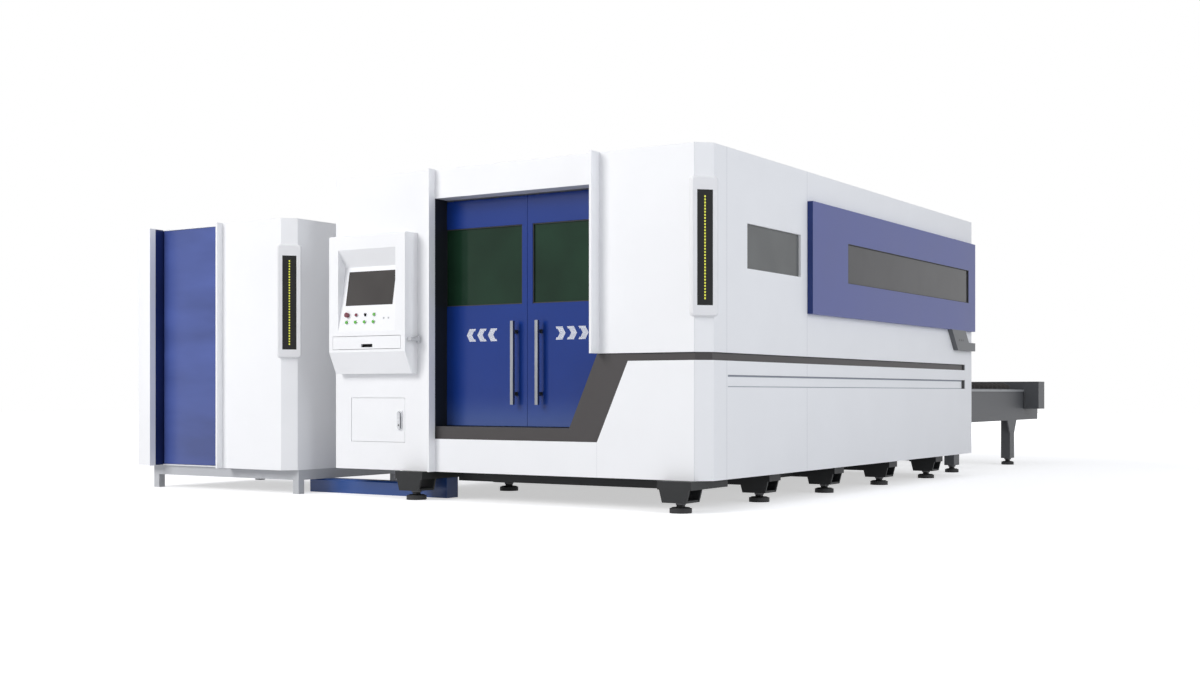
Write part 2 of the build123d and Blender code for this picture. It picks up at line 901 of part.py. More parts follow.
# Console housing: bent-up case with a sloping control panel in a recess, and the drawer's sleeve
slope = Plane(
    (right, front - console_proud + recess_depth, recess_knee),
    x_dir=(1, 0, 0),
    z_dir=(0, recess_bottom - recess_knee, recess_depth),
)
control_names = (
    "emergency_stop",
    "reset_button",
    "mode_selector",
    "start_button",
    "power_button",
    "laser_button",
    "gas_button",
    "light_button",
)
controls = []
for row in (-button_upper_row, -button_lower_row):
    for column in range(4):
        controls.append((-button_first + column * button_pitch, row))
presses = [place for name, place in zip(control_names, controls) if name != "mode_selector"]
screen_middle = (-screen_left + screen_width / 2, -screen_drop - screen_height / 2)
with BuildPart() as console_housing:
    with BuildSketch(facing_right(-console_left)):
        with BuildLine():
            Polyline(
                (-console_proud, console_fold),
                (-console_foot, console_bottom),
                (0, console_bottom),
                (0, console_top),
                (-console_proud, console_top),
                close=True,
            )
        make_face()
    extrude(amount=console_left - console_right)
    upper_edges = console_housing.edges().filter_by(Axis.X).group_by(Axis.Z)[-1]
    fillet(upper_edges.sort_by(Axis.Y)[0], radius=console_round)
    with BuildSketch(facing_right(-recess_left)):
        with BuildLine():
            Polyline(
                (-console_proud, recess_bottom),
                (-console_proud + recess_depth, recess_knee),
                (-console_proud, recess_top),
                close=True,
            )
        make_face()
    extrude(amount=recess_left - recess_right, mode=Mode.SUBTRACT)
    with BuildSketch(slope):
        with Locations(screen_middle):
            Rectangle(screen_width, screen_height)
    extrude(amount=-screen_thickness, mode=Mode.SUBTRACT)
    with BuildSketch(slope):
        with Locations(*presses):
            Rectangle(stem_width + 2 * running_gap, stem_width + 2 * running_gap)
    extrude(amount=-stem_length - stop_travel - button_clear, mode=Mode.SUBTRACT)
    block(sleeve_x, (0, sleeve_back), sleeve_z)
    block(
        (tray_x[0] - drawer_clear, tray_x[1] + drawer_clear),
        (-console_proud, drawer_back + drawer_clear),
        (sleeve_floor, drawer_top + drawer_clear),
        Mode.SUBTRACT,
    )
    block(
        (-drawer_left - drawer_clear, -drawer_right + drawer_clear),
        (-console_proud, drawer_face + drawer_clear - console_proud),
        (sleeve_floor, drawer_top + drawer_clear),
        Mode.SUBTRACT,
    )
save(console_housing, "console_housing")

# Flat screen, flush in the sloping panel
with BuildPart() as monitor:
    with BuildSketch(slope):
        with Locations(screen_middle):
            Rectangle(screen_width, screen_height)
    extrude(amount=-screen_thickness)
save(monitor, "monitor")

# Controls: a mushroom stop button, a selector with a grip, and six plain push buttons
for name, place in zip(control_names, controls):
    with BuildPart() as control:
        if name == "mode_selector":
            with BuildSketch(slope.offset(running_gap)):
                with Locations(place):
                    Circle(button_radius)
            extrude(amount=button_height)
            with BuildSketch(slope.offset(running_gap + button_height)):
                with Locations(place):
                    Rectangle(selector_grip, 2 * button_radius - selector_grip)
            extrude(amount=selector_height)
        else:
            stops = name == "emergency_stop"
            cap_low = button_clear + (stop_travel if stops else button_travel)
            with BuildSketch(slope.offset(-stem_length)):
                with Locations(place):
                    Rectangle(stem_width, stem_width)
            extrude(amount=stem_length + cap_low)
            with BuildSketch(slope.offset(cap_low)):
                with Locations(place):
                    Circle(stop_radius if stops else button_radius)
            extrude(amount=stop_height if stops else button_height)
    save(control, name)

# Keyboard drawer: flush front with a finger slot, and a shallow tray on two runners
tray_y = (-console_proud + drawer_face, drawer_back)
face_y = (-console_proud, tray_y[0])
with BuildPart() as keyboard_drawer:
    block((-drawer_left, -drawer_right), face_y, (drawer_bottom, drawer_top))
    block(tray_x, tray_y, (drawer_floor - drawer_wall, drawer_rim))
    block(
        (tray_x[0] + drawer_wall, tray_x[1] - drawer_wall),
        (tray_y[0], tray_y[1] - drawer_wall),
        (drawer_floor, drawer_rim),
        Mode.SUBTRACT,
    )
    block((-slot_left, -slot_right), face_y, (slot_bottom, slot_top), Mode.SUBTRACT)
    for x in (tray_x[0], tray_x[1] - runner_width):
        block(
            (x, x + runner_width),
            tray_y,
            (sleeve_floor + running_gap, drawer_floor - drawer_wall),
        )
save(keyboard_drawer, "keyboard_drawer")

# Bent hook on the console's right side that holds a hand control
hook_x = (-console_right, -console_right + hook_reach)
with BuildPart() as console_hook:
    block(hook_x, (-hook_start, -hook_end), (hook_bottom, hook_bottom + hook_thickness))
    block(
        (hook_x[1] - hook_lip, hook_x[1]),
        (-hook_end - 2 * hook_lip, -hook_end),
        (hook_bottom - hook_lip, hook_bottom + hook_rise),
    )
save(console_hook, "console_hook")

# Hatch: a flush door with a rounded hinge edge, two blind pin holes and the plate of its latch
latch_pivot = (-hatch_right - latch_inset, latch_top - latch_pivot_drop)
hole_depth = hatch_pin_length - hatch_gap / 2
with BuildPart() as hatch_door:
    with BuildSketch(level(hatch_bottom)):
        field((hatch_pivot[0], -hatch_right), (0, hatch_thickness))
        with Locations(hatch_pivot):
            Circle(hatch_thickness / 2)
    extrude(amount=hatch_top - hatch_bottom)
    for z in (hatch_bottom, hatch_top - hole_depth):
        with BuildSketch(level(z)):
            with Locations(hatch_pivot):
                Circle(hatch_pin_radius + pin_clear)
        extrude(amount=hole_depth, mode=Mode.SUBTRACT)
    block(around(latch_pivot[0], latch_width / 2), (-latch_plate, 0), (latch_bottom, latch_top))
    with BuildSketch(facing_front(-latch_plate)):
        with Locations(latch_pivot):
            Circle(latch_pivot_radius + pin_clear)
    extrude(amount=-latch_plate, mode=Mode.SUBTRACT)
save(hatch_door, "hatch_door")

# Swing handle of the hatch: a round-ended lever that turns on its pivot
lever_half = latch_width / 4
lever_tip = latch_bottom + lever_half + latch_plate
with BuildPart() as hatch_handle:
    with BuildSketch(facing_front(-latch_plate - running_gap)):
        field(around(latch_pivot[0], lever_half), (lever_tip, latch_pivot[1]))
        with Locations(latch_pivot, (latch_pivot[0], lever_tip)):
            Circle(lever_half)
    extrude(amount=latch_lever)
    with BuildSketch(facing_front(-latch_plate - running_gap)):
        with Locations(latch_pivot):
            Circle(latch_pivot_radius)
    extrude(amount=running_gap - latch_plate)
save(hatch_handle, "hatch_handle")

# Status lights: a bezel saddled on each chamfered corner, and its dark lens
corners = (
    (0, 0, corner_chamfer, (light_bottom, light_top), (lens_bottom, lens_top)),
    (
        -cabinet_right,
        cabinet_front,
        cabinet_chamfer,
        (cabinet_light_bottom, cabinet_light_top),
        (cabinet_lens_bottom, cabinet_lens_top),
    ),
)
with BuildPart() as light_bezels:
    for x, y, cut, bezel_z, lens_z in corners:
        face = on_corner(x - cut / 2, y + cut / 2)
        bezel_middle = (0, (bezel_z[0] + bezel_z[1]) / 2)
        with BuildSketch(face.offset(-light_width / 2)):
            with Locations(bezel_middle):
                RectangleRounded(light_width, bezel_z[1] - bezel_z[0], light_round)
        extrude(amount=light_width / 2 + light_proud - light_bevel)
        with BuildSketch(face.offset(light_proud - light_bevel)):
            with Locations(bezel_middle):
                RectangleRounded(light_width, bezel_z[1] - bezel_z[0], light_round)
        extrude(amount=light_bevel, taper=45)
        with BuildSketch(face.offset(light_proud)):
            field(around(0, lens_width / 2), lens_z)
        extrude(amount=-lens_depth, mode=Mode.SUBTRACT)
    for x, y, cut, bezel_z, lens_z in corners:
        with BuildSketch(level(0)):
            with BuildLine():
                Polyline(
                    (x - cut - light_width, y),
                    (x - cut, y),
                    (x, y + cut),
                    (x, y + cut + light_width),
                    (x - cut - light_width, y + cut + light_width),
                    close=True,
                )
            make_face()
        extrude(amount=max(house_top, cabinet_top), mode=Mode.SUBTRACT)
save(light_bezels, "light_bezels")

with BuildPart() as light_lenses:
    for x, y, cut, bezel_z, lens_z in corners:
        face = on_corner(x - cut / 2, y + cut / 2)
        with BuildSketch(face.offset(light_proud - lens_depth)):
            field(around(0, lens_width / 2), lens_z)
        extrude(amount=lens_thickness)
save(light_lenses, "light_lenses")

# Gantry: two trucks on the rails and a boxed beam with chamfered edges and two rails in front
beam_middle = truck_start + truck_length / 2
beam_low = rail_top + running_gap + truck_height
beam_centre = beam_low + gantry_section / 2
beam_front = beam_middle - gantry_section / 2
beam_half = bed_width / 2 - beam_overhang
x_rail_front = beam_front - x_rail_depth
with BuildPart() as gantry_beam:
    for x in both_sides(rail_offset):
        block(
            around(x, truck_width / 2),
            (truck_start, truck_start + truck_length),
            (rail_top + running_gap, beam_low),
        )
    with BuildSketch(facing_right(-bed_centre - beam_half)) as beam_outline:
        with Locations((beam_middle, beam_centre)):
            Rectangle(gantry_section, gantry_section)
        chamfer(beam_outline.vertices(), gantry_chamfer)
    extrude(amount=2 * beam_half)
    for z in around(beam_centre, x_rail_pitch / 2):
        block(
            both_sides(beam_half - truck_width),
            (x_rail_front, beam_front),
            around(z, x_rail_height / 2),
        )
save(gantry_beam, "gantry_beam")

# Carriage on the beam: a back plate with two cheeks that guide the head
carriage_back = x_rail_front - running_gap
plate_front = carriage_back - carriage_plate
cheek_inner = head_width / 2 + running_gap
with BuildPart() as x_carriage:
    with BuildSketch(level(beam_centre - carriage_height / 2)):
        field(both_sides(carriage_width / 2), (plate_front, carriage_back))
        for side in (-1, 1):
            cheek_middle = -bed_centre + side * (cheek_inner + cheek_width / 2)
            field(around(cheek_middle, cheek_width / 2), (plate_front - cheek_depth, plate_front))
    extrude(amount=carriage_height)
save(x_carriage, "x_carriage")

# Cutting head: a slide body over a tapered nozzle
head_y = (plate_front - running_gap - head_depth, plate_front - running_gap)
head_middle = (head_y[0] + head_y[1]) / 2
with BuildPart() as cutting_head:
    block(both_sides(head_width / 2), head_y, (head_shoulder, head_top))
    with BuildSketch(facing_front(head_middle)):
        with BuildLine():
            Polyline(
                (-bed_centre, nozzle_tip),
                (-bed_centre + nozzle_radius, nozzle_tip),
                (-bed_centre + neck_radius, head_shoulder),
                (-bed_centre, head_shoulder),
                close=True,
            )
        make_face()
    revolve(axis=Axis((right - bed_centre, front + head_middle, 0), (0, 0, 1)))
save(cutting_head, "cutting_head")


def pallet(start, ledge, name):
    """Pallet from y = start on a ledge: a frame of tube, and the serrated slats that stand on it."""
    low = ledge + running_gap
    half = inner_half - pallet_side_gap
    inside = (start + pallet_tube, start + pallet_length - pallet_tube)
    with BuildPart() as frame:
        with BuildSketch(level(low)):
            field(both_sides(half), (start, start + pallet_length))
            field(both_sides(half - pallet_tube), inside, Mode.SUBTRACT)
        extrude(amount=pallet_frame)
    save(frame, name)
    foot = low + pallet_frame
    valley = low + slat_top - slat_tooth
    tooth = 2 * half / slat_teeth
    left = -bed_centre - half
    outline = [(left, foot), (left, valley)]
    for number in range(slat_teeth):
        outline.append((left + (number + 0.5) * tooth, low + slat_top))
        outline.append((left + (number + 1) * tooth, valley))
    outline.append((-bed_centre + half, foot))
    slat_pitch = (inside[1] - inside[0]) / (slat_count + 1)
    with BuildPart() as slats:
        for number in range(slat_count):
            slat_middle = inside[0] + (number + 1) * slat_pitch
            with BuildSketch(facing_front(slat_middle - slat_thickness / 2)):
                with BuildLine():
                    Polyline(*outline, close=True)
                make_face()
            extrude(amount=-slat_thickness)
    save(slats, f"{name}_slats")


pallet(pallet_out, upper_ledge, "pallet_upper")
pallet(pallet_in, lower_ledge, "pallet_lower")

# Exchange table: two flanged and ledged beams on four gusseted legs, tied by cross members
table_half = inner_half + table_beam
table_start = house_length + table_gap
table_end = house_length + table_length
flange_top = table_top + flange_height
with BuildPart() as exchange_table:
    with BuildSketch(facing_front(table_start)):
        for side in (-1, 1):
            with BuildLine():
                Polyline(*ledged_beam(table_half, table_bottom, table_top, side), close=True)
            make_face()
            flange_middle = -bed_centre + side * (inner_half + table_half + flange_lip) / 2
            flange_half = (table_beam + flange_lip) / 2
            field(around(flange_middle, flange_half), (table_top, flange_top))
    extrude(amount=table_start - table_end)
    cross_z = (table_bottom, table_bottom + table_cross_height)
    for y in (first_leg, (first_leg + second_leg) / 2, second_leg):
        block(both_sides(inner_half), around(house_length + y, table_cross / 2), cross_z)
    for y in (first_leg, second_leg):
        leg_y = around(house_length + y, leg_length / 2)
        for side in (-1, 1):
            leg_middle = -bed_centre + side * (table_half - leg_width / 2)
            block(around(leg_middle, leg_width / 2), leg_y, (leg_bottom, table_bottom))
            gusset_middle = -bed_centre + side * (table_half - gusset_thickness / 2)
            with BuildSketch(facing_right(gusset_middle)):
                with BuildLine():
                    Polyline(
                        (house_length + y - gusset_length / 2, table_bottom),
                        (leg_y[0], table_bottom - gusset_height),
                        (leg_y[1], table_bottom - gusset_height),
                        (house_length + y + gusset_length / 2, table_bottom),
                        close=True,
                    )
                make_face()
            extrude(amount=gusset_thickness / 2, both=True)
save(exchange_table, "exchange_table")

# End guard: a hood across the end of the table, which houses the pallet drive at both sides
with BuildPart() as table_end_guard:
    with BuildSketch(facing_front(house_length + guard_start)):
        field(both_sides(table_half + guard_reach), (guard_bottom, guard_top))
        field(both_sides(table_half + flange_lip), (guard_bottom, flange_top), Mode.SUBTRACT)
    extrude(amount=-guard_length)
save(table_end_guard, "table_end_guard")

# Cabinet shell: chamfered at its right front corner, with the doorway recessed between its fins
cavity_x = (-cabinet_left + cabinet_wall, -cabinet_right - cabinet_wall)
cavity_z = (cabinet_bottom + cabinet_wall, cabinet_top - cabinet_wall)
bay_x = (-bay_left, -bay_right)
recess_y = (cabinet_front, cabinet_front + cabinet_recess)
pocket_y = (recess_y[1], recess_y[1] + cabinet_door_thickness + cabinet_door_rear_gap)
pocket_z = (cabinet_bottom + cabinet_cap, cabinet_top - cabinet_cap)
nose = cabinet_door_thickness / 2
cabinet_pivot = (bay_x[0] + cabinet_door_gap + nose, recess_y[1] + nose)
with BuildPart() as cabinet_shell:
    with BuildSketch(level(cabinet_bottom)):
        with BuildLine():
            Polyline(
                (-cabinet_left, cabinet_front),
                (-cabinet_right - cabinet_chamfer, cabinet_front),
                (-cabinet_right, cabinet_front + cabinet_chamfer),
                (-cabinet_right, cabinet_back),
                (-cabinet_left, cabinet_back),
                close=True,
            )
        make_face()
    extrude(amount=cabinet_top - cabinet_bottom)
    block(bay_x, recess_y, (cabinet_bottom, cabinet_top), Mode.SUBTRACT)
    block(bay_x, pocket_y, pocket_z, Mode.SUBTRACT)
    block(cavity_x, (pocket_y[1], cabinet_back - cabinet_wall), cavity_z, Mode.SUBTRACT)
    for z in (pocket_z[0], pocket_z[1] - cabinet_pin_length):
        with BuildSketch(level(z)):
            with Locations(cabinet_pivot):
                Circle(cabinet_pin_radius)
        extrude(amount=cabinet_pin_length)
save(cabinet_shell, "cabinet_shell")

# Cabinet door: a plain leaf with a rounded hinge edge and two blind pin holes
door_z = (pocket_z[0] + cabinet_door_gap, pocket_z[1] - cabinet_door_gap)
with BuildPart() as cabinet_door:
    with BuildSketch(level(door_z[0])):
        field(
            (cabinet_pivot[0], bay_x[1] - cabinet_door_gap),
            (recess_y[1], recess_y[1] + cabinet_door_thickness),
        )
        with Locations(cabinet_pivot):
            Circle(nose)
    extrude(amount=door_z[1] - door_z[0])
    for z in (door_z[0], door_z[1] - cabinet_pin_length):
        with BuildSketch(level(z)):
            with Locations(cabinet_pivot):
                Circle(cabinet_pin_radius + pin_clear)
        extrude(amount=cabinet_pin_length, mode=Mode.SUBTRACT)
save(cabinet_door, "cabinet_door")

# Fins at both sides of the cabinet's doorway
with BuildPart() as cabinet_fins:
    for x in (-bay_left - fin_thickness, -bay_right):
        block(
            (x, x + fin_thickness),
            (cabinet_front - cabinet_fin_proud, cabinet_front),
            (cabinet_bottom, cabinet_top),
        )
save(cabinet_fins, "cabinet_fins")

# Laser source: a closed unit that stands on the cabinet's floor
with BuildPart() as laser_source:
    source_x = around(-(cabinet_left + cabinet_right) / 2, source_width / 2)
    source_y = around((cabinet_front + cabinet_back) / 2, source_depth / 2)
    block(source_x, source_y, (cavity_z[0], cavity_z[0] + source_height))
    chamfer(laser_source.faces().sort_by(Axis.Z)[-1].edges(), source_chamfer)
save(laser_source, "laser_source")

# Base of the cabinet: a ring of rectangular tube on four legs
with BuildPart() as cabinet_base:
    base_x = (-cabinet_left + base_left_inset, -cabinet_right)
    base_y = (cabinet_front + base_front_inset, cabinet_back - base_left_inset)
    with BuildSketch(level(base_rail_bottom)):
        field(base_x, base_y)
        field(
            (base_x[0] + base_tube, base_x[1] - base_tube),
            (base_y[0] + base_tube, base_y[1] - base_tube),
            Mode.SUBTRACT,
        )
    extrude(amount=cabinet_bottom - base_rail_bottom)
    for x in (base_x[0], base_x[1] - base_tube):
        for y in (base_y[0], base_y[1] - base_tube):
            block((x, x + base_tube), (y, y + base_tube), (0, base_rail_bottom))
save(cabinet_base, "cabinet_base")

# Cable duct on the floor: from under the cabinet's base to a riser that meets the bed from below
duct_y = (duct_start, duct_start + duct_depth)
bed_left = -bed_centre - bed_width / 2
with BuildPart() as cable_duct:
    block((-cabinet_right - duct_reach, bed_left), duct_y, (0, base_rail_bottom))
    chamfer(cable_duct.edges().group_by(Axis.Z)[-1].filter_by(Axis.X), duct_chamfer)
    block((bed_left, bed_left + duct_depth), duct_y, (0, bed_bottom + bracket_plate))
save(cable_duct, "cable_duct")
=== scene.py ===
import math

import bpy
import numpy as np
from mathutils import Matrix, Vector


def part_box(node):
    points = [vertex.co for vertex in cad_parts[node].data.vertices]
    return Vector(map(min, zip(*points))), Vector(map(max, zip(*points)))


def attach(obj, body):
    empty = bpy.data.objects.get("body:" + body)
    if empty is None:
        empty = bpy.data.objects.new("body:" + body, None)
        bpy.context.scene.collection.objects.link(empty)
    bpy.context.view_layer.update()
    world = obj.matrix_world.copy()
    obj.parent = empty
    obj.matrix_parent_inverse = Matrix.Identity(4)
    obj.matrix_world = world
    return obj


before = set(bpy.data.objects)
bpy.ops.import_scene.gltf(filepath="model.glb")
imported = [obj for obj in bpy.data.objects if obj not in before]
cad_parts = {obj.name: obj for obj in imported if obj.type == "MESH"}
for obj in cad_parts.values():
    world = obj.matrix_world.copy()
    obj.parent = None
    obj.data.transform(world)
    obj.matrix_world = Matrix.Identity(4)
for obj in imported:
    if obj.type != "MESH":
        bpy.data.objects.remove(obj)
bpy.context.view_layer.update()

# Floor, air and lamps: a pale workshop floor under soft studio light. The camera stands right of
# the front corner at waist height, level, with its frame shifted up to keep the uprights parallel.
scene = bpy.context.scene
scene.view_settings.view_transform = "Standard"


def tree_of(material):
    """An empty node tree, with the two calls that add a node to it and join two sockets."""
    material.use_nodes = True
    tree = material.node_tree
    tree.nodes.clear()

    def add(kind, **values):
        node = tree.nodes.new(kind)
        for key, value in values.items():
            setattr(node, key, value)
        return node

    return tree, add, tree.links.new


def greater(add, join, first, second):
    """The larger of two sockets, so that either of two ray flags is enough."""
    either = add("ShaderNodeMath", operation="MAXIMUM")
    join(first, either.inputs[0])
    join(second, either.inputs[1])
    return either.outputs[0]


air_colour = (0.94, 0.96, 1.0, 1)
air_strength = 0.47
air = bpy.data.worlds.new("studio_air")
scene.world = air
tree, add, join = tree_of(air)
rays = add("ShaderNodeLightPath").outputs
straight = greater(add, join, rays["Is Camera Ray"], rays["Is Transmission Ray"])
lit = add("ShaderNodeBackground")
lit.inputs["Color"].default_value = air_colour
lit.inputs["Strength"].default_value = air_strength
seen = add("ShaderNodeBackground")
seen.inputs["Color"].default_value = (1, 1, 1, 1)
seen.inputs["Strength"].default_value = 1.0
mix = add("ShaderNodeMixShader")
join(greater(add, join, straight, rays["Is Glossy Ray"]), mix.inputs[0])
join(lit.outputs[0], mix.inputs[1])
join(seen.outputs[0], mix.inputs[2])
join(mix.outputs[0], add("ShaderNodeOutputWorld").inputs["Surface"])

# The floor is white to the camera from `floor_white` metres out, and shows the shadow nearby.
floor_half = 40.0
floor_near, floor_white = 5.0, 13.0
floor_mesh = bpy.data.meshes.new("floor")
floor_mesh.from_pydata(
    [(x, y, 0.0) for x, y in ((-floor_half, -floor_half), (floor_half, -floor_half),
                              (floor_half, floor_half), (-floor_half, floor_half))],
    [], [(0, 1, 2, 3)])
floor = bpy.data.objects.new("floor", floor_mesh)
scene.collection.objects.link(floor)
floor_paint = bpy.data.materials.new("pale_floor")
tree, add, join = tree_of(floor_paint)
diffuse = add("ShaderNodeBsdfDiffuse")
diffuse.inputs["Color"].default_value = (0.74, 0.74, 0.75, 1)
glow = add("ShaderNodeEmission")
glow.inputs["Color"].default_value = (1, 1, 1, 1)
away = add("ShaderNodeVectorMath", operation="LENGTH")
join(add("ShaderNodeTexCoord").outputs["Object"], away.inputs[0])
level = add("ShaderNodeMapRange")
level.inputs["From Min"].default_value = floor_near
level.inputs["From Max"].default_value = floor_white
level.inputs["To Min"].default_value = 0.55
level.inputs["To Max"].default_value = 1.0
join(away.outputs["Value"], level.inputs["Value"])
rays = add("ShaderNodeLightPath").outputs
share = add("ShaderNodeMath", operation="MULTIPLY")
join(greater(add, join, rays["Is Camera Ray"], rays["Is Glossy Ray"]), share.inputs[0])
join(level.outputs["Result"], share.inputs[1])
join(share.outputs[0], glow.inputs["Strength"])
both = add("ShaderNodeAddShader")
join(diffuse.outputs[0], both.inputs[0])
join(glow.outputs[0], both.inputs[1])
join(both.outputs[0], add("ShaderNodeOutputMaterial").inputs["Surface"])
floor_mesh.materials.append(floor_paint)


def lamp(name, place, aim, size, watts, colour):
    """A square soft lamp at a place, turned to face its aim.

    It shines along its own -Z, so it tips by the angle between straight down and the aim, then
    turns about Z by the bearing of the aim.
    """
    light = bpy.data.lights.new(name, "AREA")
    light.shape = "SQUARE"
    light.size = size
    light.energy = watts
    light.color = colour
    holder = bpy.data.objects.new(name, light)
    gap = np.array(aim, float) - np.array(place, float)
    flat = math.hypot(gap[0], gap[1])
    holder.location = place
    holder.rotation_euler = (math.atan2(flat, -gap[2]), 0.0, math.atan2(-gap[0], gap[1]))
    scene.collection.objects.link(holder)


lamp("front_lamp", (-5.8, -17.4, 9.0), (-0.2, -3.0, 0.9), 8.0, 1720, (1.0, 0.99, 0.98))
lamp("side_lamp", (12.0, -4.2, 5.5), (1.5, 0.3, 0.8), 7.0, 390, (0.91, 0.945, 1.0))
lamp("roof_lamp", (0.0, 2.0, 9.0), (0.0, 1.0, 0.0), 8.0, 90, (1.0, 1.0, 1.0))

eye = bpy.data.cameras.new("eye")
eye.lens = 43.334
eye.sensor_width = 36.0
eye.shift_y = 0.04625
eye.clip_end = 200.0
camera = bpy.data.objects.new("eye", eye)
camera.location = (6.39036, -11.22474, 0.7102)
camera.rotation_euler = (math.radians(90), 0.0, math.radians(32.527))
scene.collection.objects.link(camera)
scene.camera = camera

# White house: panels of folded sheet steel in white powder coat, which dries to a faint orange
# peel. The paint is nearly flat in colour, a little lighter and darker in patches.


def two_tones(add, join, noise, low, high, low_colour, high_colour):
    """A colour that runs from one tone to another while the noise rises from `low` to `high`."""
    ramp = add("ShaderNodeValToRGB")
    ends = ramp.color_ramp.elements
    ends[0].position, ends[1].position = low, high
    ends[0].color = [*low_colour, 1]
    ends[1].color = [min(1, c) for c in high_colour] + [1]
    join(noise.outputs["Fac"], ramp.inputs["Fac"])
    return ramp.outputs["Color"]


def spread(add, join, noise, low, high):
    """A number that follows the noise from `low` to `high`, for the roughness of a surface."""
    gloss = add("ShaderNodeMapRange")
    gloss.inputs["To Min"].default_value = low
    gloss.inputs["To Max"].default_value = high
    join(noise.outputs["Fac"], gloss.inputs["Value"])
    return gloss.outputs["Result"]


def noise_at(add, join, vector, size, detail):
    """Cloudy noise with `size` waves to the metre, read at a place on the object."""
    noise = add("ShaderNodeTexNoise")
    noise.inputs["Scale"].default_value = size
    noise.inputs["Detail"].default_value = detail
    join(vector, noise.inputs["Vector"])
    return noise


def bumps(add, join, noise, strength, height):
    """A normal tilted by the slope of the noise, taken as a relief `height` metres deep."""
    bump = add("ShaderNodeBump")
    bump.inputs["Strength"].default_value = strength
    bump.inputs["Distance"].default_value = height
    join(noise.outputs["Fac"], bump.inputs["Height"])
    return bump.outputs["Normal"]


def stretched(add, join, place, scale):
    """Object coordinates multiplied by a scale on each axis; a small one draws the noise out."""
    wave = add("ShaderNodeMapping")
    wave.inputs["Scale"].default_value = scale
    join(place.outputs["Object"], wave.inputs["Vector"])
    return wave.outputs["Vector"]


def paint(name, colour, rough=0.42, peel=0.05, peel_size=420.0, patch=0.03, coat=0.0, shine=0.5,
          stretch=(1.0, 1.0, 1.0), floor_reflection=None):
    """Powder coat: large soft noise shifts the colour, fine noise gives roughness and bump.

    The soft noise may be stretched along an axis, as rolled sheet waves, and floor_reflection =
    (low, high, colour) mixes in a paler colour from height `high` down to `low`, a painted
    reflection of the floor.
    """
    material = bpy.data.materials.new(name)
    tree, add, join = tree_of(material)
    place = add("ShaderNodeTexCoord")
    cloud = noise_at(add, join, stretched(add, join, place, stretch), 1.7, 3.0)
    tint = two_tones(add, join, cloud, 0.3, 0.7, [c * (1 - patch) for c in colour],
                     [c * (1 + patch) for c in colour])
    grain = noise_at(add, join, place.outputs["Object"], peel_size, 2.0)
    shader = add("ShaderNodeBsdfPrincipled")
    # Paler towards the bottom: a painted reflection of the floor.
    if floor_reflection:
        low, high, reflection_colour = floor_reflection
        height = add("ShaderNodeSeparateXYZ")
        join(place.outputs["Object"], height.inputs["Vector"])
        fade = add("ShaderNodeMapRange", interpolation_type="SMOOTHSTEP")
        fade.inputs["From Min"].default_value = high
        fade.inputs["From Max"].default_value = low
        join(height.outputs["Z"], fade.inputs["Value"])
        reflected = add("ShaderNodeMix", data_type="RGBA")
        reflected.inputs["B"].default_value = (*reflection_colour, 1)
        join(fade.outputs["Result"], reflected.inputs["Factor"])
        join(tint, reflected.inputs["A"])
        tint = reflected.outputs["Result"]
    join(tint, shader.inputs["Base Color"])
    join(spread(add, join, cloud, rough - 0.05, rough + 0.05), shader.inputs["Roughness"])
    join(bumps(add, join, grain, peel, 0.0004), shader.inputs["Normal"])
    shader.inputs["Specular IOR Level"].default_value = shine
    shader.inputs["Coat Weight"].default_value = coat
    shader.inputs["Coat Roughness"].default_value = 0.12
    join(shader.outputs["BSDF"], add("ShaderNodeOutputMaterial").inputs["Surface"])
    return material


def finish(material, *nodes):
    """Puts a material in every slot of the named CAD nodes."""
    for node in nodes:
        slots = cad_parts[node].material_slots
        for index in range(len(slots)):
            slots[index].material = material


white_coat = paint("white_coat", (0.88, 0.885, 0.90), patch=0.015, shine=0.3)
finish(white_coat, "front_panel_left", "front_header", "front_panel_right", "front_panel_lower",
       "corner_cover", "side_panel_front", "side_panel_rear", "side_panel_lower", "left_wall",
       "rear_wall", "roof_panel", "door_fins", "hatch_door", "console_housing", "keyboard_drawer",
       "cabinet_shell", "cabinet_fins")
finish(paint("bezel_white", (0.80, 0.80, 0.815), rough=0.35, patch=0.02, shine=0.4), "light_bezels")

# Seams of the house: the sheets meet at a hair of grey sealant, drawn as strips that stand a
# fifth of a millimetre proud of the paint. They run down the side, the corner and the lower front.
# From here on x counts from the right face of the house, y from its front face, z from the floor.
house = np.array((2.368, -3.7515, 0.0))
house_low, house_high = 0.19, 2.19
chamfer = 0.085
cover_end, rear_seam = 0.251, 1.407
doorway_right, sill_low = -0.767, 0.407
waist_low, waist_high = 0.905, 0.953
groove_low, groove_high = 0.746, 0.820
skin = 0.0002
seam_half = 0.0012


def shape(name, verts, faces, material, body, smooth=False, bevel=0.0):
    """A mesh piece from points in the house's own frame, painted, and riding on a body."""
    mesh = bpy.data.meshes.new(name)
    mesh.from_pydata((np.asarray(verts, float) + house).tolist(), [], [list(f) for f in faces])
    mesh.polygons.foreach_set("use_smooth", np.full(len(mesh.polygons), smooth))
    mesh.materials.append(material)
    mesh.update()
    piece = bpy.data.objects.new(name, mesh)
    scene.collection.objects.link(piece)
    if bevel:
        edge = piece.modifiers.new("edge", "BEVEL")
        edge.width = bevel
        edge.segments = 2
        edge.limit_method = "ANGLE"
    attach(piece, body)
    return piece


